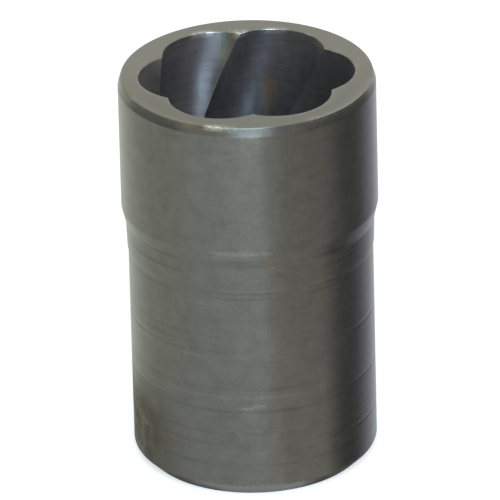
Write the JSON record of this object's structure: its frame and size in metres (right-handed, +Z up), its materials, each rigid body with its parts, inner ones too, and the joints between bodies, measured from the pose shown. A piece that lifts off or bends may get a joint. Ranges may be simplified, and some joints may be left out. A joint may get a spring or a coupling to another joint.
{
  "type": "screw extractor socket",
  "caption": "Round steel socket with tapered left-hand spiral flutes in its mouth and a square drive below, for turning out rounded nuts and screws.",
  "frame": {"origin": "centre of the drive end's face, on the socket's axis", "axes": "+Z up the socket's axis towards the fluted mouth, +X through the crown of one flute at the mouth's face"},
  "size_m": [0.026, 0.026, 0.0418],
  "materials": {
    "phosphated_steel": "dark grey phosphate, matt with a faint sheen"
  },
  "bodies": {
    "root": {"extractor_socket": "phosphated_steel"}
  },
  "joints": []
}
